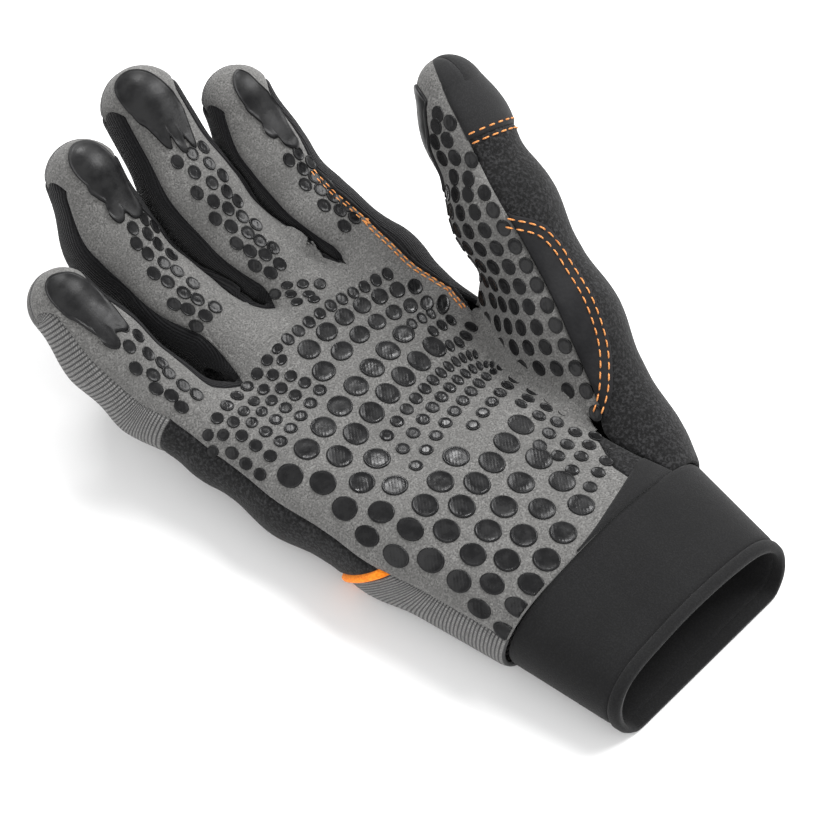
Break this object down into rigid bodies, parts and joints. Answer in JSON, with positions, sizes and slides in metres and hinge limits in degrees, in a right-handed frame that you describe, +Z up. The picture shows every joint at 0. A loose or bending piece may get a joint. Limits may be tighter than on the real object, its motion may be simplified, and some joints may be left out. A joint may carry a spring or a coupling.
{
  "type": "safety glove",
  "caption": "Worn work glove for the right hand lying palm up: grey suede palm and finger fronts with rubber tip pads, black stretch sides, ribbed back and a short open neoprene cuff",
  "frame": {"origin": "on the flat underside of the back of the hand, at the level it lies on, under the middle of the palm", "axes": "+Y from the cuff towards the fingertips, +X towards the thumb, +Z up, out of the palm"},
  "size_m": [0.1362, 0.2335, 0.0862],
  "materials": {
    "suede": "fine napped grey suede, matt",
    "rib_knit": "light and dark grey ribbed knit",
    "stretch": "fine ribbed black stretch cloth",
    "neoprene": "black cloth-faced neoprene with a slight sheen",
    "patch_leather": "smooth charcoal leather",
    "piping": "bright orange piping",
    "grip_rubber": "moulded black rubber, semi-gloss"
  },
  "bodies": {
    "root": {"palm_panel": "suede", "thumb_front": "suede", "finger_back_little": "rib_knit", "finger_back_ring": "rib_knit", "finger_back_middle": "rib_knit", "finger_back_index": "rib_knit", "back_panel": "rib_knit", "fourchette_little_ring": "stretch", "fourchette_ring_middle": "stretch", "fourchette_middle_index": "stretch", "index_side_panel": "stretch", "knuckle_panel": "neoprene", "thumb_back": "neoprene", "cuff": "neoprene", "cuff_hem": "neoprene", "thumb_patch": "patch_leather", "piping": "piping", "pad_little": "grip_rubber", "pad_ring": "grip_rubber", "pad_middle": "grip_rubber", "pad_index": "grip_rubber"}
  },
  "joints": []
}
